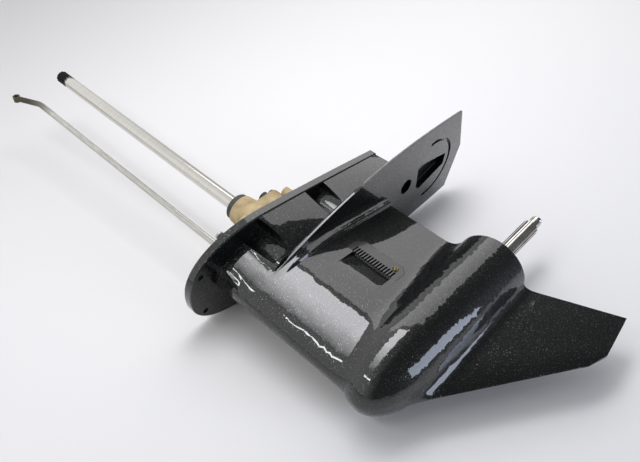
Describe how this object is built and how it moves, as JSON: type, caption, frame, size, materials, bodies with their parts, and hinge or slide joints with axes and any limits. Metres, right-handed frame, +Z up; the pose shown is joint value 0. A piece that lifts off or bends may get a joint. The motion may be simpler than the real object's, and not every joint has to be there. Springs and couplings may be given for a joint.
{
  "type": "outboard lower unit",
  "caption": "Outboard lower unit: gearcase with anti-ventilation plate and skeg, long driveshaft, shift rod, splined propeller shaft, bevel gears, dog clutch and water pump.",
  "frame": {"origin": "where the driveshaft's axis meets the top face of the gearcase's deck", "axes": "+X aft, along the propeller shaft towards its tip; +Y to starboard; +Z up, along the driveshaft towards the engine"},
  "size_m": [0.5456, 0.174, 1.0266],
  "materials": {
    "gearcase_paint": "gloss black enamel with fine metal flake",
    "stainless_steel": "ground stainless steel",
    "bearing_steel": "ground bearing steel",
    "gear_steel": "case-hardened gear steel",
    "rod_steel": "drawn steel, darkened at the bend",
    "zinc_steel": "zinc-plated steel",
    "carrier_aluminium": "machined cast aluminium",
    "seal_rubber": "matt black nitrile rubber",
    "collar_rubber": "dark grey rubber",
    "gasket_fibre": "fibre gasket",
    "pump_plastic": "tan moulded plastic",
    "guide_plastic": "black moulded plastic",
    "screen_plastic": "black moulded plastic",
    "brass": "plain brass"
  },
  "bodies": {
    "gearcase": {"gearcase_housing": "gearcase_paint", "driveshaft_upper_bearing": "bearing_steel", "pinion_bearing": "bearing_steel", "driveshaft_seals": "seal_rubber", "forward_bearing_cup": "bearing_steel", "reverse_bearing_outer_race": "bearing_steel", "bearing_carrier": "carrier_aluminium", "carrier_o_ring": "seal_rubber", "carrier_needle_bearing": "bearing_steel", "propeller_shaft_seals": "seal_rubber", "carrier_ring_nut": "carrier_aluminium", "shift_rod_guide": "guide_plastic", "shift_rod_guide_bolt": "zinc_steel", "pump_gasket": "gasket_fibre", "pump_base": "pump_plastic", "pump_wear_plate": "stainless_steel", "pump_liner": "stainless_steel", "pump_housing": "pump_plastic", "pump_bolts": "zinc_steel", "water_tube_grommet": "seal_rubber", "intake_screen_port": "screen_plastic", "intake_screen_starboard": "screen_plastic", "intake_screen_screws": "brass", "drain_plug": "zinc_steel", "level_plug": "zinc_steel", "plug_gaskets": "gasket_fibre", "deck_dowels": "zinc_steel"},
    "driveshaft_line": {"driveshaft": "stainless_steel", "pinion_gear": "gear_steel", "pinion_nut": "gear_steel", "pump_impeller": "seal_rubber", "impeller_key": "bearing_steel", "driveshaft_collar": "collar_rubber"},
    "forward_gear_set": {"forward_gear": "gear_steel", "forward_bearing_cone": "bearing_steel", "forward_needle_bearing": "bearing_steel"},
    "reverse_gear_set": {"reverse_gear": "gear_steel", "reverse_bearing_inner_race": "bearing_steel"},
    "propeller_shaft_set": {"propeller_shaft": "stainless_steel", "thrust_washer": "bearing_steel"},
    "clutch_set": {"dog_clutch": "gear_steel", "clutch_cross_pin": "bearing_steel", "clutch_pin_spring": "bearing_steel", "shift_slider": "bearing_steel"},
    "follower_set": {"cam_follower": "gear_steel", "cam_pin": "bearing_steel"},
    "shift_rod_set": {"shift_rod": "rod_steel", "shift_cam": "gear_steel"}
  },
  "joints": [
    {"name": "driveshaft_spin", "type": "hinge", "parent": "gearcase", "child": "driveshaft_line", "pos_m": [0, 0, 0], "axis": [0, 0, 1], "continuous": true},
    {"name": "forward_gear_spin", "type": "hinge", "parent": "gearcase", "child": "forward_gear_set", "pos_m": [0, 0, -0.2655], "axis": [1, 0, 0], "continuous": true},
    {"name": "reverse_gear_spin", "type": "hinge", "parent": "gearcase", "child": "reverse_gear_set", "pos_m": [0, 0, -0.2655], "axis": [1, 0, 0], "continuous": true},
    {"name": "propeller_shaft_spin", "type": "hinge", "parent": "gearcase", "child": "propeller_shaft_set", "pos_m": [0, 0, -0.2655], "axis": [1, 0, 0], "continuous": true},
    {"name": "clutch_slide", "type": "slide", "parent": "propeller_shaft_set", "child": "clutch_set", "axis": [1, 0, 0], "range_m": [-0.0055, 0.0055]},
    {"name": "follower_slide", "type": "slide", "parent": "gearcase", "child": "follower_set", "axis": [1, 0, 0], "range_m": [-0.0055, 0.0055]},
    {"name": "shift_rod_slide", "type": "slide", "parent": "gearcase", "child": "shift_rod_set", "axis": [0, 0, 1], "range_m": [-0.008, 0.008]}
  ],
  "couplings": [
    {"joint": "forward_gear_spin", "follows": "driveshaft_spin", "ratio": 0.5},
    {"joint": "reverse_gear_spin", "follows": "driveshaft_spin", "ratio": -0.5},
    {"joint": "clutch_slide", "follows": "shift_rod_slide", "ratio": 0.6875},
    {"joint": "follower_slide", "follows": "shift_rod_slide", "ratio": 0.6875}
  ]
}
